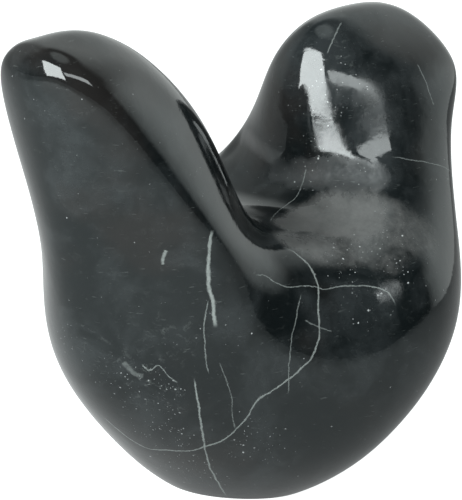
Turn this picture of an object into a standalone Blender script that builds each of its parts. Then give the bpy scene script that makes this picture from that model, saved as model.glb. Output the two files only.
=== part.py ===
# Stone bird: an abstract bird carved from one block of polished black marble.
# Metres, +Z up. The origin is the middle of the flat foot, and the head faces -Y.
from collections import namedtuple

import bpy
from mathutils import Vector

# Driving sizes
STATUE_HEIGHT = 0.150   # from the flat foot to the tip of the raised tail
BODY_WIDTH = 0.119      # across the flanks
TAIL_WIDTH = 0.052      # across the raised paddle, half way up it
HEAD_WIDTH = 0.059      # across the cheeks
FOOT_DEPTH = 0.008      # how much of the round belly the flat foot takes off

# The carving is a loft: sections follow one another from the tail's tip, down under the body
# and up to the crown, like slices fanned out round the hollow of the back.
#   keel, back: where a section meets the middle plane outside and inside, as (forward, up)
#       shares of the uncut height, counted from the lowest point of the uncut belly
#   width: which named width it follows, and how far apart its corners stand as a share of it
#   rim, rise: how far from back to keel it is widest, and how far the rim stands up off that
#       line, as a share of the uncut height
#   flank: how full its outer corner is
#   shoulder, crown: how wide its inner corner stands, and how far towards the rim
#   edge: how softly its side is rounded, as a share of the uncut height
Section = namedtuple("Section", "keel back width rim rise flank shoulder crown edge")
SECTIONS = [
    Section((-0.543, 0.962), (-0.423, 1.026), ("tail", 0.44), 0.75, 0.008, 0.68, 0.64, 0.72, 0.030),
    Section((-0.565, 0.913), (-0.276, 0.972), ("tail", 0.87), 0.70, 0.008, 0.66, 0.55, 0.28, 0.027),
    Section((-0.512, 0.711), (-0.114, 0.826), ("tail", 1.25), 0.68, 0.023, 0.55, 0.55, 0.25, 0.047),
    Section((-0.476, 0.492), (-0.070, 0.695), ("tail", 1.49), 0.51, 0.030, 0.52, 0.60, 0.30, 0.023),
    Section((-0.452, 0.305), (-0.057, 0.628), ("body", 0.76), 0.35, 0.020, 0.67, 0.52, 0.28, 0.080),
    Section((-0.275, 0.106), (-0.044, 0.595), ("body", 0.90), 0.38, 0.000, 0.68, 0.63, 0.12, 0.094),
    Section((-0.103, -0.054), (-0.007, 0.588), ("body", 1.03), 0.43, 0.000, 0.65, 0.64, 0.05, 0.101),
    Section((0.099, -0.024), (0.033, 0.595), ("body", 1.13), 0.42, 0.000, 0.69, 0.62, 0.15, 0.097),
    Section((0.335, 0.264), (0.060, 0.611), ("body", 1.18), 0.44, 0.000, 0.77, 0.64, 0.32, 0.086),
    Section((0.436, 0.535), (0.077, 0.642), ("head", 1.67), 0.50, 0.000, 0.72, 0.63, 0.50, 0.081),
    Section((0.497, 0.713), (0.080, 0.719), ("head", 1.22), 0.56, 0.000, 0.69, 0.65, 0.45, 0.075),
    Section((0.554, 0.805), (0.105, 0.829), ("head", 1.06), 0.67, 0.000, 0.70, 0.66, 0.31, 0.083),
    Section((0.465, 0.909), (0.190, 0.920), ("head", 0.30), 0.70, 0.000, 0.67, 0.66, 0.06, 0.053),
]
SMOOTHING = 2           # subdivision levels over the control cage
END_BULGE = 0.25        # an end's middle stands out by this share of the last step
EDGE_LIMIT = 0.6        # the rounding of a side takes at most this share of it
CUTTER_REACH = 2.0      # the foot's cutter is this many statue heights across

WIDTHS = {"tail": TAIL_WIDTH, "body": BODY_WIDTH, "head": HEAD_WIDTH}
UNCUT_HEIGHT = STATUE_HEIGHT + FOOT_DEPTH


def on_middle_plane(share):
    """A (forward, up) share of the uncut height as a point, with the foot's plane at Z = 0."""
    forward, up = share
    return Vector((0, -forward * UNCUT_HEIGHT, up * UNCUT_HEIGHT - FOOT_DEPTH))


def step_towards(start, end, length):
    """The point a given length from start, kept within the near part of the way to end."""
    way = end - start
    return start + way.normalized() * min(length, EDGE_LIMIT * way.length)


def side_corners(section, side):
    """Control points down one side: flank, two round the rim, and shoulder."""
    keel = on_middle_plane(section.keel)
    back = on_middle_plane(section.back)
    name, share = section.width
    half_width = side * share * WIDTHS[name] / 2
    rounding = section.edge * UNCUT_HEIGHT

    def corner(out, depth):
        return back + (keel - back) * depth + Vector((half_width * out, 0, 0))

    rim = corner(1, section.rim) + Vector((0, 0, section.rise * UNCUT_HEIGHT))
    flank = corner(section.flank, section.rim + (1 - section.rim) * section.flank)
    shoulder = corner(section.shoulder, section.rim * section.crown)
    upper = step_towards(rim, shoulder, rounding)
    lower = step_towards(rim, flank, rounding)
    return [flank, lower, upper, shoulder]


def ring(section):
    """Ten control points round one section, starting at the keel."""
    keel = on_middle_plane(section.keel)
    back = on_middle_plane(section.back)
    one_side = side_corners(section, -1)
    other_side = side_corners(section, 1)
    return [keel, *one_side, back, *reversed(other_side)]


def end_point(last, before):
    """The middle of an end, standing a little out from the last ring."""
    middle = sum(last, Vector()) / len(last)
    inward = sum(before, Vector()) / len(before)
    return middle + (middle - inward) * END_BULGE


def loft_faces(ring_count, side_count):
    """Quads between neighbouring rings, and five quads that close each end."""
    faces = []
    for row in range(ring_count - 1):
        for place in range(side_count):
            here = row * side_count + place
            beside = row * side_count + (place + 1) % side_count
            faces.append((here + side_count, beside + side_count, beside, here))
    tip = ring_count * side_count
    crown = tip + 1
    last_row = (ring_count - 1) * side_count
    for place in range(0, side_count, 2):
        after = (place + 2) % side_count
        faces.append((place, place + 1, after, tip))
        faces.append((last_row + after, last_row + place + 1, last_row + place, crown))
    return faces


def black_marble():
    material = bpy.data.materials.new("black_marble")
    material.use_nodes = True
    shader = material.node_tree.nodes["Principled BSDF"]
    shader.inputs["Base Color"].default_value = (0.008, 0.010, 0.011, 1)
    shader.inputs["Roughness"].default_value = 0.12
    shader.inputs["Metallic"].default_value = 0
    return material


def foot_cutter(collection):
    """A block whose top is the foot's plane."""
    size = CUTTER_REACH * STATUE_HEIGHT
    bpy.ops.mesh.primitive_cube_add(size=size, location=(0, 0, -size / 2))
    cutter = bpy.context.object
    cutter.name = "foot_cutter"
    cutter.hide_render = True
    cutter.display_type = "WIRE"
    for holder in list(cutter.users_collection):
        holder.objects.unlink(cutter)
    collection.objects.link(cutter)
    return cutter


def stone_bird(collection, cutter):
    rings = [ring(section) for section in SECTIONS]
    points = [point for each in rings for point in each]
    points.append(end_point(rings[0], rings[1]))
    points.append(end_point(rings[-1], rings[-2]))
    mesh = bpy.data.meshes.new("stone_bird")
    mesh.from_pydata(points, [], loft_faces(len(rings), len(rings[0])))
    mesh.shade_smooth()
    bird = bpy.data.objects.new("stone_bird", mesh)
    bird.data.materials.append(black_marble())
    collection.objects.link(bird)

    rounding = bird.modifiers.new("polished form", "SUBSURF")
    rounding.levels = SMOOTHING
    rounding.render_levels = SMOOTHING
    foot = bird.modifiers.new("flat foot", "BOOLEAN")
    foot.operation = "DIFFERENCE"
    foot.solver = "EXACT"
    foot.object = cutter
    return bird


def main():
    for thing in list(bpy.data.objects):
        bpy.data.objects.remove(thing, do_unlink=True)
    statue = bpy.data.collections.new("Stone bird")
    cutters = bpy.data.collections.new("Cutters")
    for collection in (statue, cutters):
        bpy.context.scene.collection.children.link(collection)
    stone_bird(statue, foot_cutter(cutters))


main()
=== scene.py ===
# Stone bird: the looks. Metres, +Z up, the bird faces -Y and stands on Z = 0.
import math

import bmesh
import bpy
import numpy as np
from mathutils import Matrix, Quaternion, Vector
from mathutils.bvhtree import BVHTree


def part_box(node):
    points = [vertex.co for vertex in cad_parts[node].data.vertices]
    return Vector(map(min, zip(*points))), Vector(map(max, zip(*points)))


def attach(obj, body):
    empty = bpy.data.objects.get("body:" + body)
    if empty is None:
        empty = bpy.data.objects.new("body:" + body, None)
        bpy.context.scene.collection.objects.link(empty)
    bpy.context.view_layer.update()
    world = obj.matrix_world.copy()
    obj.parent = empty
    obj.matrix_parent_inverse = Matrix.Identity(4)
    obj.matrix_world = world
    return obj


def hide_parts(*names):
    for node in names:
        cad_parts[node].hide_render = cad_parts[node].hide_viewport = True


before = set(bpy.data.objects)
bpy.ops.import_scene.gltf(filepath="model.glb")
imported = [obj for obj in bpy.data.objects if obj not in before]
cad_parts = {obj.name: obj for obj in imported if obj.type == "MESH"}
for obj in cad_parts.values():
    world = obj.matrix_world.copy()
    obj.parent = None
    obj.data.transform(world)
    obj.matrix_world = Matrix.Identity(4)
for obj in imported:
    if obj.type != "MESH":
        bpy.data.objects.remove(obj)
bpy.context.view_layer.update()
birdLow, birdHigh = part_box("stone_bird")
statueHeight = birdHigh.z - birdLow.z
millimetre = 0.001


class Term:
    # one number in a node tree, so that sums read as sums
    def __init__(self, net, socket):
        self.net = net
        self.socket = socket

    def join(self, operation, first, second):
        node = self.net.make("ShaderNodeMath", {"operation": operation}, {0: first, 1: second})
        return Term(self.net, node.outputs[0])

    def __add__(self, other):
        return self.join("ADD", self, other)

    def __radd__(self, other):
        return self.join("ADD", other, self)

    def __sub__(self, other):
        return self.join("SUBTRACT", self, other)

    def __rsub__(self, other):
        return self.join("SUBTRACT", other, self)

    def __mul__(self, other):
        return self.join("MULTIPLY", self, other)

    def __rmul__(self, other):
        return self.join("MULTIPLY", other, self)

    def __truediv__(self, other):
        return self.join("DIVIDE", self, other)

    def __rtruediv__(self, other):
        return self.join("DIVIDE", other, self)

    def __pow__(self, other):
        return self.join("POWER", self, other)

    def largest(self, other):
        return self.join("MAXIMUM", self, other)

    def size(self):
        return self.largest(self * -1.0)

    def between(self, low, high):
        # 0 at low, 1 at high, smooth in the middle; low may be the larger one
        rising = low < high
        settings = {"interpolation_type": "SMOOTHSTEP", "clamp": True}
        node = self.net.make("ShaderNodeMapRange", settings, {
            "Value": self, "From Min": min(low, high), "From Max": max(low, high),
            "To Min": 0.0 if rising else 1.0, "To Max": 1.0 if rising else 0.0})
        return Term(self.net, node.outputs["Result"])


class NodeNet:
    def __init__(self, tree):
        self.tree = tree

    def make(self, kind, settings=None, sockets=None):
        node = self.tree.nodes.new(kind)
        for name, value in (settings or {}).items():
            setattr(node, name, value)
        for name, value in (sockets or {}).items():
            socket = self.find(node, name)
            if isinstance(value, Term):
                value = value.socket
            if isinstance(value, bpy.types.NodeSocket):
                self.tree.links.new(value, socket)
            else:
                socket.default_value = value
        return node

    def find(self, node, name):
        if isinstance(name, int):
            return node.inputs[name]
        byIdentifier = [socket for socket in node.inputs if socket.identifier == name]
        return byIdentifier[0] if byIdentifier else node.inputs[name]

    def blend(self, share, first, second):
        node = self.make("ShaderNodeMix", {"data_type": "RGBA"}, {
            "Factor_Float": share, "A_Color": first, "B_Color": second})
        return [out for out in node.outputs if out.identifier == "Result_Color"][0]

    def stretch(self, place, shares):
        node = self.make("ShaderNodeMapping", {"vector_type": "POINT"}, {
            "Vector": place, "Scale": shares})
        return node.outputs["Vector"]

    def warp(self, place, size, reach, seed):
        # the place pushed about by up to about half the reach
        node = self.make("ShaderNodeTexNoise", {"noise_dimensions": "4D"}, {
            "Vector": place, "W": seed, "Scale": 1 / size, "Detail": 2.0})
        centred = self.make("ShaderNodeVectorMath", {"operation": "SUBTRACT"}, {
            0: node.outputs["Color"], 1: (0.5, 0.5, 0.5)})
        push = self.make("ShaderNodeVectorMath", {"operation": "SCALE"}, {
            "Vector": centred.outputs["Vector"], "Scale": reach})
        moved = self.make("ShaderNodeVectorMath", {"operation": "ADD"}, {
            0: place, 1: push.outputs["Vector"]})
        return moved.outputs["Vector"]

    def parts(self, vector):
        node = self.make("ShaderNodeSeparateXYZ", {}, {"Vector": vector})
        return [Term(self, out) for out in node.outputs]

    def carried(self, name):
        # the three numbers that the mesh carries under this name
        node = self.make("ShaderNodeAttribute", {"attribute_name": name})
        return self.parts(node.outputs["Vector"])

    def pattern(self, place, grain):
        # cloudy noise as one row of grains says, and within its range where it has one
        if "warp" in grain:
            place = self.warp(place, *grain["warp"])
        if "stretch" in grain:
            place = self.stretch(place, grain["stretch"])
        node = self.make("ShaderNodeTexNoise", {"noise_dimensions": "4D"}, {
            "Vector": place, "W": grain["seed"], "Scale": 1 / grain["size"],
            "Detail": grain["detail"], "Roughness": grain.get("rough", 0.5)})
        noise = Term(self, node.outputs["Fac"])
        return noise.between(*grain["range"]) if "range" in grain else noise


# The same sections as the solid is lofted through, but rounded more finely
birdForm = {
    "footDepth": 0.008,     # what the flat foot takes off the round belly
    "widths": {"tail": 0.052, "body": 0.119, "head": 0.059},
    "endBulge": 0.25,       # an end's middle stands out by this share of the last step
    "edgeLimit": 0.6,       # the rounding of a side takes at most this share of it
    # keel and back as (forward, up) shares of the uncut height, the width that it follows and
    # its share, rim and its rise, flank, shoulder, crown, edge
    "sections": [
        ((-0.543, 0.962), (-0.423, 1.026), ("tail", 0.44), 0.75, 0.008, 0.68, 0.64, 0.72, 0.030),
        ((-0.565, 0.913), (-0.276, 0.972), ("tail", 0.87), 0.70, 0.008, 0.66, 0.55, 0.28, 0.027),
        ((-0.512, 0.711), (-0.114, 0.826), ("tail", 1.25), 0.68, 0.023, 0.55, 0.55, 0.25, 0.047),
        ((-0.476, 0.492), (-0.070, 0.695), ("tail", 1.49), 0.51, 0.030, 0.52, 0.60, 0.30, 0.023),
        ((-0.452, 0.305), (-0.057, 0.628), ("body", 0.76), 0.35, 0.020, 0.67, 0.52, 0.28, 0.080),
        ((-0.275, 0.106), (-0.044, 0.595), ("body", 0.90), 0.38, 0.000, 0.68, 0.63, 0.12, 0.094),
        ((-0.103, -0.054), (-0.007, 0.588), ("body", 1.03), 0.43, 0.000, 0.65, 0.64, 0.05, 0.101),
        ((0.099, -0.024), (0.033, 0.595), ("body", 1.13), 0.42, 0.000, 0.69, 0.62, 0.15, 0.097),
        ((0.335, 0.264), (0.060, 0.611), ("body", 1.18), 0.44, 0.000, 0.77, 0.64, 0.32, 0.086),
        ((0.436, 0.535), (0.077, 0.642), ("head", 1.67), 0.50, 0.000, 0.72, 0.63, 0.50, 0.081),
        ((0.497, 0.713), (0.080, 0.719), ("head", 1.22), 0.56, 0.000, 0.69, 0.65, 0.45, 0.075),
        ((0.554, 0.805), (0.105, 0.829), ("head", 1.06), 0.67, 0.000, 0.70, 0.66, 0.31, 0.083),
        ((0.465, 0.909), (0.190, 0.920), ("head", 0.30), 0.70, 0.000, 0.67, 0.66, 0.06, 0.053),
    ],
}


def onMiddlePlane(share, uncut):
    forward, up = share
    return Vector((0, -forward * uncut, up * uncut - birdForm["footDepth"]))


def stepTowards(start, end, length):
    way = end - start
    return start + way.normalized() * min(length, birdForm["edgeLimit"] * way.length)


def sideCorners(section, side, uncut):
    # down one side of a section: flank, two round the rim, and shoulder
    keelShare, backShare, width, rim, rise, flank, shoulder, crown, edge = section
    keel = onMiddlePlane(keelShare, uncut)
    back = onMiddlePlane(backShare, uncut)
    halfWidth = side * width[1] * birdForm["widths"][width[0]] / 2

    def corner(out, depth):
        return back + (keel - back) * depth + Vector((halfWidth * out, 0, 0))

    rimPoint = corner(1, rim) + Vector((0, 0, rise * uncut))
    flankPoint = corner(flank, rim + (1 - rim) * flank)
    shoulderPoint = corner(shoulder, rim * crown)
    upper = stepTowards(rimPoint, shoulderPoint, edge * uncut)
    lower = stepTowards(rimPoint, flankPoint, edge * uncut)
    return [flankPoint, lower, upper, shoulderPoint]


def ringPoints(section, uncut):
    oneSide = sideCorners(section, -1, uncut)
    otherSide = sideCorners(section, 1, uncut)
    keel = onMiddlePlane(section[0], uncut)
    back = onMiddlePlane(section[1], uncut)
    return [keel, *oneSide, back, *reversed(otherSide)]


def endPoint(last, before):
    middle = sum(last, Vector()) / len(last)
    inward = sum(before, Vector()) / len(before)
    return middle + (middle - inward) * birdForm["endBulge"]


def loftFaces(ringCount, sideCount):
    # four-sided faces between neighbouring rings, and five that close each end
    faces = []
    for row in range(ringCount - 1):
        for place in range(sideCount):
            here = row * sideCount + place
            beside = row * sideCount + (place + 1) % sideCount
            faces.append((here + sideCount, beside + sideCount, beside, here))
    tip = ringCount * sideCount
    crown = tip + 1
    lastRow = (ringCount - 1) * sideCount
    for place in range(0, sideCount, 2):
        after = (place + 2) % sideCount
        faces.append((place, place + 1, after, tip))
        faces.append((lastRow + after, lastRow + place + 1, lastRow + place, crown))
    return faces


def controlCage():
    uncut = statueHeight + birdForm["footDepth"]
    rings = [ringPoints(section, uncut) for section in birdForm["sections"]]
    points = [point for ring in rings for point in ring]
    points.append(endPoint(rings[0], rings[1]))
    points.append(endPoint(rings[-1], rings[-2]))
    mesh = bpy.data.meshes.new("birdCage")
    mesh.from_pydata(points, [], loftFaces(len(rings), len(rings[0])))
    cage = bpy.data.objects.new("birdCage", mesh)
    bpy.context.scene.collection.objects.link(cage)
    return cage


# The inputs of the node tree that rounds the cage, under the names that it gives them
handPolish = {
    "Levels": 4,            # subdivisions of the control cage
    "Wave Height": 0.0004,  # how deep hand grinding dips into the form
    "Wave Size": 0.030,
    "Seed": 4.0,
}


def polishTree(material):
    tree = bpy.data.node_groups.new("handPolish", "GeometryNodeTree")
    tree.interface.new_socket("Geometry", in_out="INPUT", socket_type="NodeSocketGeometry")
    for name, value in handPolish.items():
        kind = "NodeSocketInt" if isinstance(value, int) else "NodeSocketFloat"
        tree.interface.new_socket(name, in_out="INPUT", socket_type=kind)
    tree.interface.new_socket("Geometry", in_out="OUTPUT", socket_type="NodeSocketGeometry")
    net = NodeNet(tree)
    given = net.make("NodeGroupInput")
    rounded = net.make("GeometryNodeSubdivisionSurface", {}, {
        "Mesh": given.outputs["Geometry"], "Level": given.outputs["Levels"]})
    density = 1 / Term(net, given.outputs["Wave Size"])
    waves = net.make("ShaderNodeTexNoise", {"noise_dimensions": "4D"}, {
        "W": given.outputs["Seed"], "Scale": density, "Detail": 1.0})
    # the noise goes from 0 to 1, so that less 1 it only dips inwards
    rise = (Term(net, waves.outputs["Fac"]) - 1.0) * Term(net, given.outputs["Wave Height"])
    normal = net.make("GeometryNodeInputNormal")
    offset = net.make("ShaderNodeVectorMath", {"operation": "SCALE"}, {
        "Vector": normal.outputs["Normal"], "Scale": rise})
    moved = net.make("GeometryNodeSetPosition", {}, {
        "Geometry": rounded.outputs["Mesh"], "Offset": offset.outputs["Vector"]})
    smooth = net.make("GeometryNodeSetShadeSmooth", {}, {"Geometry": moved.outputs[0]})
    real = net.make("GeometryNodeRealizeInstances", {}, {"Geometry": smooth.outputs[0]})
    dressed = net.make("GeometryNodeSetMaterial", {}, {
        "Geometry": real.outputs[0], "Material": material})
    net.make("NodeGroupOutput", {}, {"Geometry": dressed.outputs[0]})
    return tree


def plainMesh(piece, name):
    # the evaluated result as a plain mesh in a new object, and the old one removed
    bpy.context.view_layer.update()
    graph = bpy.context.evaluated_depsgraph_get()
    mesh = bpy.data.meshes.new_from_object(piece.evaluated_get(graph))
    mesh.name = name
    result = bpy.data.objects.new(name, mesh)
    bpy.context.scene.collection.objects.link(result)
    bpy.data.objects.remove(piece)
    return result


def cutFoot(piece):
    # the flat foot: everything below the ground plane goes, and the hole is filled
    shape = bmesh.new()
    shape.from_mesh(piece.data)
    everything = shape.verts[:] + shape.edges[:] + shape.faces[:]
    cut = bmesh.ops.bisect_plane(shape, geom=everything, plane_co=(0, 0, 0),
                                 plane_no=(0, 0, -1), clear_outer=True)
    outline = [part for part in cut["geom_cut"] if isinstance(part, bmesh.types.BMEdge)]
    for edge in outline:
        edge.smooth = False
    filled = bmesh.ops.contextual_create(shape, geom=outline)
    for face in filled["faces"]:
        face.smooth = False
        face.material_index = 0
    bmesh.ops.triangulate(shape, faces=filled["faces"])
    bmesh.ops.recalc_face_normals(shape, faces=shape.faces[:])
    shape.to_mesh(piece.data)
    shape.free()


def carveBird(material):
    piece = controlCage()
    piece.data.materials.append(material)
    tree = polishTree(material)
    modifier = piece.modifiers.new("handPolish", "NODES")
    modifier.node_group = tree
    for item in tree.interface.items_tree:
        if item.in_out == "INPUT" and item.name in handPolish:
            modifier[item.identifier] = handPolish[item.name]
    carved = plainMesh(piece, "carvedBird")
    cutFoot(carved)
    print("bird carved:", len(carved.data.polygons), "faces")
    return carved


photoCamera = {
    "azimuth": 224.6,       # degrees round the bird, from its front
    "elevation": 16.74,
    "distance": 1.0585,
    "aim": (0.0, 0.0, 0.0701),
    "aimRight": -0.0021,    # the picture's middle, from the aim, in the picture plane
    "aimUp": 0.0006,
    "pixelFocal": 3503.2,
    "frame": (462, 500),
    "sensor": 36.0,
}


def outwards(azimuth, elevation):
    # the way out from the bird at these degrees round from its front and up
    turn = math.radians(azimuth)
    rise = math.radians(elevation)
    return Vector((math.sin(turn) * math.cos(rise), -math.cos(turn) * math.cos(rise),
                   math.sin(rise)))


def cameraAxes():
    azimuth = math.radians(photoCamera["azimuth"])
    back = outwards(photoCamera["azimuth"], photoCamera["elevation"])
    right = Vector((math.cos(azimuth), math.sin(azimuth), 0))
    return right, back.cross(right), back


def cameraPlace():
    right, up, back = cameraAxes()
    aim = Vector(photoCamera["aim"]) + right * photoCamera["aimRight"] + up * photoCamera["aimUp"]
    return aim + back * photoCamera["distance"]


def makeCamera():
    data = bpy.data.cameras.new("photoCamera")
    camera = bpy.data.objects.new("photoCamera", data)
    bpy.context.scene.collection.objects.link(camera)
    data.lens = photoCamera["pixelFocal"] * photoCamera["sensor"] / max(photoCamera["frame"])
    data.sensor_width = photoCamera["sensor"]
    camera.location = cameraPlace()
    camera.rotation_euler = cameraAxes()[2].to_track_quat("Z", "Y").to_euler()
    bpy.context.scene.camera = camera
    print("camera set")


def alongPath(corners, steps):
    # a smooth curve through the corners, in equal shares of each stretch
    ends = [2 * corners[0] - corners[1], *corners, 2 * corners[-1] - corners[-2]]
    result = []
    for before, start, end, after in zip(ends, ends[1:], ends[2:], ends[3:]):
        for step in range(steps):
            t = step / steps
            result.append(0.5 * (2 * start + (end - before) * t
                                 + (2 * before - 5 * start + 4 * end - after) * t ** 2
                                 + (3 * start - before - 3 * end + after) * t ** 3))
    return result + [corners[-1]]


def seenRay(point):
    # from the camera through a point of the picture
    right, up, back = cameraAxes()
    width, height = photoCamera["frame"]
    aside = right * (point[0] - width / 2) + up * (height / 2 - point[1])
    return cameraPlace(), (aside / photoCamera["pixelFocal"] - back).normalized()


def roundRay(point):
    # level, towards the bird's upright middle line
    azimuth, height = point[0], point[1]
    out = outwards(azimuth, 0)
    return out + Vector((0, 0, height)), -out


def touched(skin, rays):
    places, normals = [], []
    for start, way in rays:
        place, normal, _, _ = skin.ray_cast(start, way)
        if place is not None:
            places.append(place)
            normals.append(normal)
    return np.array(places), np.array(normals)


def skinOf(mesh):
    return BVHTree.FromPolygons([vertex.co for vertex in mesh.vertices],
                                [face.vertices[:] for face in mesh.polygons])


def numbersOf(mesh, name):
    # the places or normals of all vertices, one row each
    numbers = np.empty(len(mesh.vertices) * 3)
    mesh.vertices.foreach_get(name, numbers)
    return numbers.reshape(-1, 3)


def eased(near):
    return near * near * (3 - 2 * near)


# A crease pressed a little into the skin, both sides alike: picture pixels, millimetres
creases = {
    "neckCrease": {"seen": [(272, 174), (290, 173), (308, 173), (328, 173), (346, 175), (362, 178)],
                   "steps": 4, "reach": 7.0, "depth": 1.1},
}


def pressCreases(piece):
    mesh = piece.data
    skin = skinOf(mesh)
    points = numbersOf(mesh, "co")
    normals = numbersOf(mesh, "normal")
    folded = np.where(points[:, :1] < 0, points * (-1, 1, 1), points)
    moved = points.copy()
    for crease in creases.values():
        corners = [Vector((*corner, 0)) for corner in crease["seen"]]
        line, _ = touched(skin, [seenRay(point) for point in alongPath(corners, crease["steps"])])
        line[:, 0] = np.abs(line[:, 0])
        gaps = np.min([np.linalg.norm(folded - place, axis=1) for place in line], axis=0)
        near = np.clip(1 - gaps / (crease["reach"] * millimetre), 0, 1)
        depth = crease["depth"] * millimetre * eased(near)
        moved -= normals * depth[:, None]
    mesh.vertices.foreach_set("co", moved.ravel())
    mesh.update()
    print("creases pressed:", len(creases))


# A vein follows a path over the carved skin. "seen" gives its points as the picture shows them,
# in its pixels, and "round" as degrees round the bird, as the camera's azimuth is, and height.
# width in millimetres, strength 0 to 1, broken 0 to 1: how much of it fades away
veins = {
    "spineVein": {"seen": [(213, 230), (211, 240), (209, 252), (208, 268), (209, 284), (212, 298),
                           (214, 312), (215, 328)],
                  "width": 0.80, "strength": 0.95, "broken": 0.25},
    "spineHair": {"seen": [(208, 300), (206, 312), (204, 328), (205, 345), (206, 360), (209, 374)],
                  "width": 0.26, "strength": 0.55, "broken": 0.3},
    "footVein": {"seen": [(194, 378), (196, 390), (198, 402), (200, 418), (203, 436), (205, 447),
                          (208, 462), (213, 474), (220, 486), (227, 496)],
                 "width": 0.40, "strength": 0.85, "broken": 0.25},
    "longVein": {"seen": [(98, 412), (108, 421), (122, 433), (136, 443), (150, 449), (166, 450),
                          (190, 451), (205, 446), (217, 443), (226, 438), (236, 430), (246, 419),
                          (253, 407), (260, 398), (270, 392), (285, 382), (300, 370), (310, 360),
                          (316, 350), (319, 335), (319, 318), (318, 302), (318, 288), (313, 272),
                          (303, 259), (292, 251), (281, 246)],
                 "width": 0.36, "strength": 0.80, "broken": 0.2},
    "shoulderHair": {"seen": [(301, 294), (298, 308), (296, 320), (292, 335), (290, 350),
                              (289, 370), (288, 395)],
                     "width": 0.24, "strength": 0.55, "broken": 0.35},
    "shoulderVein": {"seen": [(255, 275), (266, 276), (275, 282), (287, 287), (300, 286),
                              (314, 286), (326, 289), (340, 286), (360, 286), (374, 287),
                              (386, 291), (393, 298), (396, 306)],
                     "width": 0.26, "strength": 0.65, "broken": 0.45},
    "flankHair": {"seen": [(219, 362), (225, 375), (229, 388), (232, 400), (233, 415), (235, 430)],
                  "width": 0.20, "strength": 0.45, "broken": 0.4},
    "shoulderNick": {"seen": [(305, 320), (316, 326), (332, 332)],
                     "width": 0.24, "strength": 0.40, "broken": 0.3},
    "hollowHair": {"seen": [(306, 168), (303, 182), (296, 197), (286, 205), (277, 212), (270, 222)],
                   "width": 0.24, "strength": 0.45, "broken": 0.3},
    "crownHair": {"seen": [(341, 22), (336, 34), (331, 44), (327, 54)],
                  "width": 0.26, "strength": 0.45, "broken": 0.4},
    "cheekHair": {"seen": [(417, 64), (424, 78), (429, 92), (434, 106)],
                  "width": 0.26, "strength": 0.55, "broken": 0.55},
    "crookedHair": {"seen": [(142, 364), (149, 372), (157, 365), (163, 369), (170, 377),
                             (178, 383)],
                    "width": 0.24, "strength": 0.60, "broken": 0.35},
    "chalkMark": {"seen": [(166, 250), (164, 255), (162, 260), (162, 265)],
                  "width": 0.62, "strength": 0.70, "broken": 0.3},
    "smudge": {"seen": [(123, 362), (128, 367), (134, 373), (144, 376)],
               "width": 1.10, "strength": 0.30, "broken": 0.5},
    "sideVein": {"round": [(133, 0.021), (118, 0.027), (100, 0.036), (78, 0.038), (52, 0.047),
                           (28, 0.044), (8, 0.054), (-16, 0.062), (-33, 0.058)],
                 "width": 0.40, "strength": 0.80, "broken": 0.25},
    "throatVein": {"round": [(6, 0.132), (13, 0.116), (4, 0.099), (9, 0.080), (-5, 0.060),
                             (2, 0.036), (-6, 0.018)],
                   "width": 0.46, "strength": 0.85, "broken": 0.3},
    "flankVein": {"round": [(64, 0.082), (74, 0.068), (68, 0.050), (84, 0.031), (80, 0.013)],
                  "width": 0.30, "strength": 0.65, "broken": 0.35},
    "tailVein": {"round": [(118, 0.136), (110, 0.119), (123, 0.100), (113, 0.082), (120, 0.064)],
                 "width": 0.34, "strength": 0.70, "broken": 0.35},
    "breastHair": {"round": [(-44, 0.101), (-30, 0.088), (-37, 0.068), (-26, 0.045), (-34, 0.030)],
                   "width": 0.24, "strength": 0.50, "broken": 0.4},
    "farHair": {"round": [(44, 0.100), (38, 0.083), (50, 0.066), (42, 0.030)],
                "width": 0.24, "strength": 0.50, "broken": 0.4},
}

# Patches of the skin: picture pixels, reach in millimetres, strength
patches = {
    # the pale patch on the saddle between tail and head is painted sheen, a painted reflection of
    # light from above; the skin there is also rougher
    "haze": [(292, 224, 9, 1.0), (308, 220, 12, 1.0), (332, 218, 15, 1.0), (358, 218, 16, 0.9),
             (390, 226, 15, 0.60), (418, 235, 13, 0.55), (292, 240, 9, 0.8), (316, 246, 12, 0.8),
             (345, 246, 13, 0.6), (385, 252, 12, 0.45)],
    "flecked": [(165, 432, 13, 1.0), (190, 470, 15, 0.95), (250, 440, 15, 0.6), (130, 385, 14, 0.7),
                (160, 395, 10, 0.9), (345, 258, 12, 0.6), (392, 252, 13, 0.6), (330, 90, 14, 0.45),
                (318, 150, 9, 0.5), (365, 300, 12, 0.4), (232, 318, 12, 0.2), (60, 330, 10, 0.5)],
    "brushed": [(372, 76, 6, 0.6), (388, 90, 9, 1.0), (398, 110, 9, 0.9), (384, 118, 8, 0.8),
                (405, 128, 7, 0.6), (335, 100, 9, 0.5), (330, 140, 9, 0.5), (366, 104, 8, 0.9),
                (370, 120, 7, 0.9), (391, 292, 6, 1.0)],
    "matt": [(280, 172, 7, 0.7), (298, 174, 8, 0.9), (318, 175, 8, 0.9), (338, 176, 8, 0.9),
             (358, 177, 8, 0.9), (376, 178, 7, 0.7)],
    "smoky": [(145, 382, 13, 1.0), (168, 398, 9, 0.8), (110, 360, 12, 0.5), (335, 60, 12, 0.6),
              (385, 300, 8, 0.7), (180, 340, 12, 0.4)],
}

tracing = {
    "steps": 6,             # points on each stretch of a vein
    "reach": 5.0,           # millimetres to each side of a vein that know of it
    "beyond": 4.0,          # what is written farther off, too wide for any vein
    "plateau": 1.5,         # how soon a patch is at its full strength
}


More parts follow.
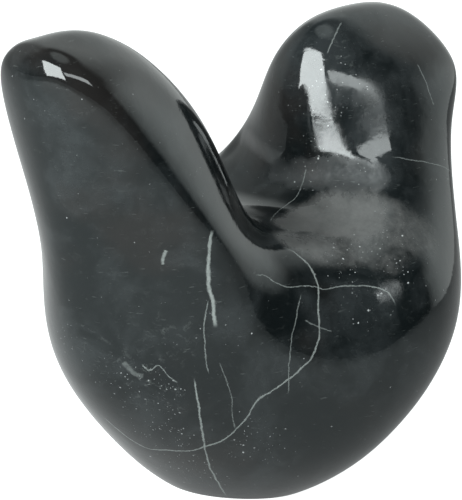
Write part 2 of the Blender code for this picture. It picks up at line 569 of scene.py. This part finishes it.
def veinField(path, normals, points):
    # for each vertex: how far it lies across the path, in millimetres, how far along, and 1 if near
    nearest = np.full(len(points), np.inf)
    field = np.zeros((len(points), 3))
    ways = path[1:] - path[:-1]
    lengths = np.linalg.norm(ways, axis=1)
    walked = np.concatenate([[0], np.cumsum(lengths)])
    for index, (start, way, length) in enumerate(zip(path, ways, lengths)):
        offset = points - start
        share = offset @ way / length ** 2
        gap = np.linalg.norm(offset - np.outer(np.clip(share, 0, 1), way), axis=1)
        side = np.cross(way / length, normals[index])
        nearer = gap < nearest
        nearest[nearer] = gap[nearer]
        low = -np.inf if index == 0 else 0
        high = np.inf if index == len(ways) - 1 else 1
        onStretch = np.clip(share, low, high)[nearer] * length
        field[nearer, 0] = (offset @ side)[nearer] / millimetre
        field[nearer, 1] = (walked[index] + onStretch) / walked[-1]
    close = nearest < tracing["reach"] * millimetre
    field[:, 2] = close
    field[~close, :2] = (tracing["beyond"], 0)
    return field


def patchField(skin, spots, points):
    shares = np.zeros(len(points))
    for x, y, reach, strength in spots:
        middle, _ = touched(skin, [seenRay((x, y))])
        near = 1 - np.linalg.norm(points - middle, axis=1) / (reach * millimetre)
        near = np.clip(near * tracing["plateau"], 0, 1)
        shares = np.maximum(shares, strength * eased(near))
    return np.stack([shares] * 3, axis=1)


def carry(mesh, name, values):
    layer = mesh.attributes.new(name, "FLOAT_VECTOR", "POINT")
    layer.data.foreach_set("vector", np.ascontiguousarray(values, dtype=np.float32).ravel())


def traceVeins(piece):
    mesh = piece.data
    skin = skinOf(mesh)
    points = numbersOf(mesh, "co")
    for name, vein in veins.items():
        way, ray = ("seen", seenRay) if "seen" in vein else ("round", roundRay)
        corners = [Vector((*corner, 0)) for corner in vein[way]]
        rays = [ray(point) for point in alongPath(corners, tracing["steps"])]
        carry(mesh, name, veinField(*touched(skin, rays), points))
    for name, spots in patches.items():
        carry(mesh, name, patchField(skin, spots, points))
    print("veins traced:", len(veins), "and patches:", len(patches))


# Cloudy grains of the stone and its polish: size in metres, how fine and rough the detail is,
# seed, a stretch or a warp (size, reach, seed) of the place, and the range that counts
grains = {
    "smoke": {"size": 0.022, "detail": 5.0, "rough": 0.6, "seed": 0.0, "warp": (0.020, 0.020, 7.0),
              "range": (0.42, 0.66)},
    "warm": {"size": 0.030, "detail": 3.0, "seed": 8.0, "range": (0.50, 0.68)},
    "fine": {"size": 0.0011, "detail": 4.0, "rough": 0.7, "seed": 3.0},
    "wisps": {"size": 0.0030, "detail": 7.0, "rough": 0.74, "seed": 10.0,
              "warp": (0.006, 0.010, 9.0), "stretch": (1, 1, 1.6), "range": (0.53, 0.78)},
    "ragged": {"size": 0.0050, "detail": 7.0, "rough": 0.76, "seed": 11.0, "stretch": (1, 1, 0.45)},
    "streaks": {"size": 0.0016, "detail": 5.0, "rough": 0.7, "seed": 20.0, "stretch": (1, 1, 0.22)},
    "scuffs": {"size": 0.0010, "detail": 3.0, "rough": 0.6, "seed": 21.0,
               "stretch": (0.30, 0.30, 1.6), "range": (0.62, 0.76)},
    "cloudy": {"size": 0.0075, "detail": 4.0, "rough": 0.6, "seed": 15.0, "range": (0.45, 0.75)},
    "mottle": {"size": 0.0016, "detail": 3.0, "rough": 0.6, "seed": 16.0, "range": (0.45, 0.70)},
    "broadWaves": {"size": 0.0050, "detail": 2.0, "seed": 17.0},
    "fineWaves": {"size": 0.0017, "detail": 4.0, "rough": 0.62, "seed": 18.0},
    "brushWaves": {"size": 0.0012, "detail": 4.0, "rough": 0.65, "seed": 19.0,
                   "stretch": (1, 1, 0.35)},
    "veinWander": {"size": 0.0045, "detail": 3.0, "seed": 1.0},
    "veinFray": {"size": 0.0006, "detail": 3.0, "rough": 0.7, "seed": 2.0},
    "veinSwell": {"size": 0.0026, "detail": 2.0, "seed": 5.0},
    "veinGaps": {"size": 0.0014, "detail": 3.0, "rough": 0.7, "seed": 6.0, "range": (0.50, 0.62)},
}

# Scattered specks: metres apart, metres across, density everywhere and what flecked skin adds
specks = {
    "flecks": {"spacing": 0.0014, "size": 0.00030, "density": 0.02, "flecked": 0.75, "seed": 12.0},
    "dust": {"spacing": 0.0008, "size": 0.00020, "density": 0.04, "flecked": 0.80, "seed": 13.0},
    "pits": {"spacing": 0.0050, "size": 0.00034, "density": 0.06, "flecked": 0.22, "seed": 14.0},
}
speckEdge = {
    "tear": (0.0008, 0.0005),   # size and reach of the warp that tears the round outlines
    "smallest": 0.35,           # shares of the size
    "growth": 1.2,
    "soft": (1.0, 0.4),
    "thinning": 0.03,
    "faintest": 0.35,
}

veinLook = {
    "wander": 1.3,          # millimetres that a vein strays from its path
    "fray": 0.75,
    "thinnest": 0.45,       # shares of its width
    "swell": 1.1,
    "edge": (1.0, 0.25),
    "start": (-0.005, 0.05),    # where it comes in and fades out, as shares of its length
    "end": (1.005, 0.93),
    "close": (0.9, 0.98),
}

marble = {
    "black": (0.0030, 0.0046, 0.0050, 1),
    "smoke": (0.0150, 0.0185, 0.0195, 1),
    "umber": (0.0160, 0.0132, 0.0118, 1),
    # pale colour of the painted sheen on the saddle, painted reflection of light from above
    "haze": (0.0850, 0.0900, 0.0880, 1),
    "vein": (0.185, 0.212, 0.205, 1),
    "fleck": (0.340, 0.370, 0.370, 1),
    "tint": (0.93, 1.0, 1.0, 1),
    "ior": 1.5,
    # how much of a color shows
    "umberShare": 0.40,
    # how much ragged and fine grain breaks up the painted sheen on the saddle
    "paintedSheenRagged": 0.9,
    "paintedSheenFine": 0.5,
    "wispShare": 0.07,
    "smokyWisps": 0.40,
    "scuffShare": 0.16,
    "dustShare": 0.6,
    # how ragged the patches are, and where they start and are full
    "raggedEdge": 0.9,
    "paintedSheenRange": (0.12, 0.95),
    "mattRange": (0.05, 0.95),
    "mattFlecks": 0.3,
    # roughness of the best polish, and what the rest adds
    "polished": 0.055,
    "cloudyRough": 0.10,
    "sheenPatchRough": 0.26,
    "veinRough": 0.15,
    "wispRough": 0.10,
    "brushRough": 0.50,
    "brushGloss": 0.15,     # streaks below this shine more, not less
    "mattRough": 0.30,
    "mattGrain": 0.6,
    # heights in the skin, metres
    "broadHeight": 0.000040,
    "fineHeight": 0.000026,
    "brushHeight": 0.000022,
    "pitDepth": 0.00012,
    # shares of the fine and brushed heights by where they are
    "fineBase": 0.25,
    "fineCloudy": 1.5,
    "brushedShare": 0.6,
}


def veinMask(net, place):
    def grain(name):
        return net.pattern(place, grains[name])

    wander = (grain("veinWander") - 0.5) * veinLook["wander"]
    fray = (grain("veinFray") - 0.5) * veinLook["fray"]
    swell = veinLook["thinnest"] + grain("veinSwell") * veinLook["swell"]
    gaps = grain("veinGaps")
    total = None
    for name, vein in veins.items():
        across, along, close = net.carried(name)
        line = (across + wander + fray).size() / (swell * vein["width"])
        ends = along.between(*veinLook["start"]) * along.between(*veinLook["end"])
        line = line.between(*veinLook["edge"]) * (ends * close.between(*veinLook["close"]))
        line = line * (1 - gaps * vein["broken"]) * vein["strength"]
        total = line if total is None else total.largest(line)
    return total


def speckMask(net, place, flecked, kind):
    # scattered specks of uneven size, as many as the density lets through
    speck = specks[kind]
    density = speck["density"] + flecked * speck["flecked"]
    torn = net.warp(place, *speckEdge["tear"], speck["seed"])
    aside = net.make("ShaderNodeMapping", {}, {"Vector": torn, "Location": (speck["seed"], 0, 0)})
    node = net.make("ShaderNodeTexVoronoi", {"voronoi_dimensions": "3D"}, {
        "Vector": aside.outputs["Vector"], "Scale": 1 / speck["spacing"], "Randomness": 1.0})
    scatter, chance, light = net.parts(node.outputs["Color"])
    uneven = speckEdge["smallest"] + speckEdge["growth"] * scatter ** 3
    reach = (speck["size"] / speck["spacing"]) * uneven
    spot = (Term(net, node.outputs["Distance"]) / reach).between(*speckEdge["soft"])
    faintest = speckEdge["faintest"]
    shown = (density - chance).between(0.0, speckEdge["thinning"])
    return spot * shown * (faintest + (1 - faintest) * light)


def marbleColor(net, masks):
    m = masks
    color = net.blend(m["smoke"] * (0.5 + m["fine"]), marble["black"], marble["smoke"])
    color = net.blend(m["warm"] * marble["umberShare"], color, marble["umber"])
    # painted sheen: the saddle made paler, as light reflected from above would make it
    pale = m["ragged"] * marble["paintedSheenRagged"] + m["fine"] * marble["paintedSheenFine"]
    color = net.blend(m["hazed"] * pale, color, marble["haze"])
    wispy = m["smoky"] * marble["smokyWisps"] + marble["wispShare"]
    color = net.blend(m["wisps"] * wispy, color, marble["vein"])
    color = net.blend(m["scuffs"] * marble["scuffShare"], color, marble["vein"])
    color = net.blend(m["vein"], color, marble["vein"])
    color = net.blend(m["flecks"].largest(m["dust"] * marble["dustShare"]), color, marble["fleck"])
    return net.blend(m["pits"], color, marble["black"])


def marbleRoughness(m):
    rough = marble["polished"] + (m["cloudy"] * 0.5 + m["mottle"] * 0.5) * marble["cloudyRough"]
    rough = rough + m["hazed"] * marble["sheenPatchRough"] + m["vein"] * marble["veinRough"]
    rough = rough + m["wisps"] * m["smoky"] * marble["wispRough"]
    rough = rough + m["brushed"] * (m["streaks"] - marble["brushGloss"]) * marble["brushRough"]
    return rough + m["unpolished"] * (marble["mattRough"] + m["fine"] * marble["mattGrain"])


def marbleHeight(m):
    fineShare = marble["fineBase"] + m["cloudy"] * marble["fineCloudy"]
    brushShare = m["hazed"] + m["brushed"] * marble["brushedShare"]
    height = m["broadWaves"] * marble["broadHeight"]
    height = height + m["fineWaves"] * fineShare * marble["fineHeight"]
    height = height + m["brushWaves"] * brushShare * marble["brushHeight"]
    return height - m["pits"] * marble["pitDepth"]


def blackMarble():
    material = bpy.data.materials.new("black_marble")
    material.use_nodes = True
    tree = material.node_tree
    tree.nodes.clear()
    net = NodeNet(tree)
    place = net.make("ShaderNodeTexCoord").outputs["Object"]

    masks = {name: net.carried(name)[0] for name in patches}
    for name, grain in grains.items():
        if not name.startswith("vein"):
            masks[name] = net.pattern(place, grain)
    ragged = (masks["ragged"] - 0.5) * marble["raggedEdge"]
    # where the painted sheen on the saddle shows, with ragged edges; the same patch also makes the
    # skin rougher and more brushed
    masks["hazed"] = (masks["haze"] + ragged).between(*marble["paintedSheenRange"])
    masks["unpolished"] = (masks["matt"] + ragged).between(*marble["mattRange"])
    masks["vein"] = veinMask(net, place)
    flecked = masks["flecked"] + masks["matt"] * marble["mattFlecks"]
    for kind in specks:
        masks[kind] = speckMask(net, place, flecked, kind)

    bump = net.make("ShaderNodeBump", {}, {
        "Strength": 1.0, "Distance": 1.0, "Height": marbleHeight(masks)})
    shader = net.make("ShaderNodeBsdfPrincipled", {}, {
        "Base Color": marbleColor(net, masks), "Roughness": marbleRoughness(masks),
        "IOR": marble["ior"], "Specular Tint": marble["tint"], "Normal": bump.outputs["Normal"]})
    out = net.make("ShaderNodeOutputMaterial")
    tree.links.new(shader.outputs["BSDF"], out.inputs["Surface"])
    print("marble mixed:", len(tree.nodes), "nodes")
    return material


# The floor is whiter where it is seen directly, as a bright photo shows it
paleFloor = {
    "size": 12.0,
    "color": (0.25, 0.26, 0.26, 1),
    "roughness": 0.9,
    "specular": 0.1,
    "glowColor": (0.97, 1.0, 1.0, 1),
    "glow": 0.30,
    "seenGlow": 0.78,
}


def makeFloor():
    mesh = bpy.data.meshes.new("floor")
    half = paleFloor["size"] / 2
    mesh.from_pydata([(-half, -half, 0), (half, -half, 0), (half, half, 0), (-half, half, 0)],
                     [], [(0, 1, 2, 3)])
    floor = bpy.data.objects.new("floor", mesh)
    bpy.context.scene.collection.objects.link(floor)
    material = bpy.data.materials.new("paleFloor")
    material.use_nodes = True
    shader = material.node_tree.nodes["Principled BSDF"]
    shader.inputs["Base Color"].default_value = paleFloor["color"]
    shader.inputs["Roughness"].default_value = paleFloor["roughness"]
    shader.inputs["Specular IOR Level"].default_value = paleFloor["specular"]
    shader.inputs["Emission Color"].default_value = paleFloor["glowColor"]
    net = NodeNet(material.node_tree)
    seen = Term(net, net.make("ShaderNodeLightPath").outputs["Is Camera Ray"])
    glow = paleFloor["glow"] + seen * paleFloor["seenGlow"]
    material.node_tree.links.new(glow.socket, shader.inputs["Emission Strength"])
    mesh.materials.append(material)


# Two bright windows. turn: degrees round from the camera, towards the picture's right;
# rise: above the level; away: metres from the point that both light
windows = {
    "tallWindow": {"turn": -38, "rise": 29, "away": 0.85, "size": (0.64, 0.66), "roll": 14,
                   "radiance": 15.0},
    "sideWindow": {"turn": 19, "rise": 36, "away": 0.95, "size": (0.80, 0.165), "roll": 0,
                   "radiance": 7.0},
}
litPoint = (0.0, -0.02, 0.11)


def softBox(name, box):
    back = outwards(photoCamera["azimuth"] + box["turn"], box["rise"])
    data = bpy.data.lights.new(name, "AREA")
    data.shape = "RECTANGLE"
    data.size, data.size_y = box["size"]
    data.energy = box["radiance"] * math.pi * data.size * data.size_y
    light = bpy.data.objects.new(name, data)
    bpy.context.scene.collection.objects.link(light)
    light.location = Vector(litPoint) + back * box["away"]
    rolled = Quaternion((0, 0, 1), math.radians(box["roll"]))
    light.rotation_euler = (back.to_track_quat("Z", "Y") @ rolled).to_euler()
    light.visible_camera = False


# The room round the bird, by ways: the share of a way that points to the near side, to the
# picture's right or up. A pair says where a glow starts and is full.
room = {
    "color": (0.95, 1, 0.985, 1),
    "seenGlow": 1.2,            # white paper, where it is seen directly
    "nearDark": 0.04,
    "farGlow": 0.95,
    "farEdge": (-0.02, -0.40),
    "farTop": (0.90, 0.76),
    "farRight": (0.45, 0.80),
    "farRightDim": 0.50,
    "farLeft": (-0.15, -0.42),
    "farLeftDim": 0.65,
    "sideGlow": 0.9,
    "sideRight": (0.55, 0.85),
    "sideEdge": (0.15, -0.10),
    "sideTop": (0.62, 0.30),
    "topGlow": 1.0,
    "topEdge": (0.94, 0.985),
}


def makeRoom():
    world = bpy.data.worlds.new("room")
    bpy.context.scene.world = world
    world.use_nodes = True
    tree = world.node_tree
    tree.nodes.clear()
    net = NodeNet(tree)
    towards = net.make("ShaderNodeTexCoord").outputs["Generated"]

    def along(way):
        node = net.make("ShaderNodeVectorMath", {"operation": "DOT_PRODUCT"}, {0: towards, 1: way})
        return Term(net, node.outputs["Value"])

    near = along(outwards(photoCamera["azimuth"], 0))
    right = along(cameraAxes()[0])
    up = along((0, 0, 1))
    dimRight = 1 - right.between(*room["farRight"]) * room["farRightDim"]
    dimLeft = 1 - right.between(*room["farLeft"]) * room["farLeftDim"]
    far = near.between(*room["farEdge"]) * up.between(*room["farTop"]) * dimRight * dimLeft
    side = right.between(*room["sideRight"]) * near.between(*room["sideEdge"])
    side = side * up.between(*room["sideTop"])
    top = up.between(*room["topEdge"]) * room["topGlow"]
    glow = room["nearDark"] + far * room["farGlow"] + side * room["sideGlow"] + top
    seen = Term(net, net.make("ShaderNodeLightPath").outputs["Is Camera Ray"])
    strength = glow + seen * (room["seenGlow"] - glow)
    paper = net.make("ShaderNodeBackground", {}, {"Color": room["color"], "Strength": strength})
    out = net.make("ShaderNodeOutputWorld")
    tree.links.new(paper.outputs[0], out.inputs["Surface"])


def lightStudio():
    for name, box in windows.items():
        softBox(name, box)
    makeRoom()
    makeFloor()
    bpy.context.scene.view_settings.view_transform = "Standard"
    print("studio lit, windows:", len(windows))


makeCamera()
stone = blackMarble()
bird = carveBird(stone)
pressCreases(bird)
traceVeins(bird)
lightStudio()
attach(bird, "root")
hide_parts("stone_bird")
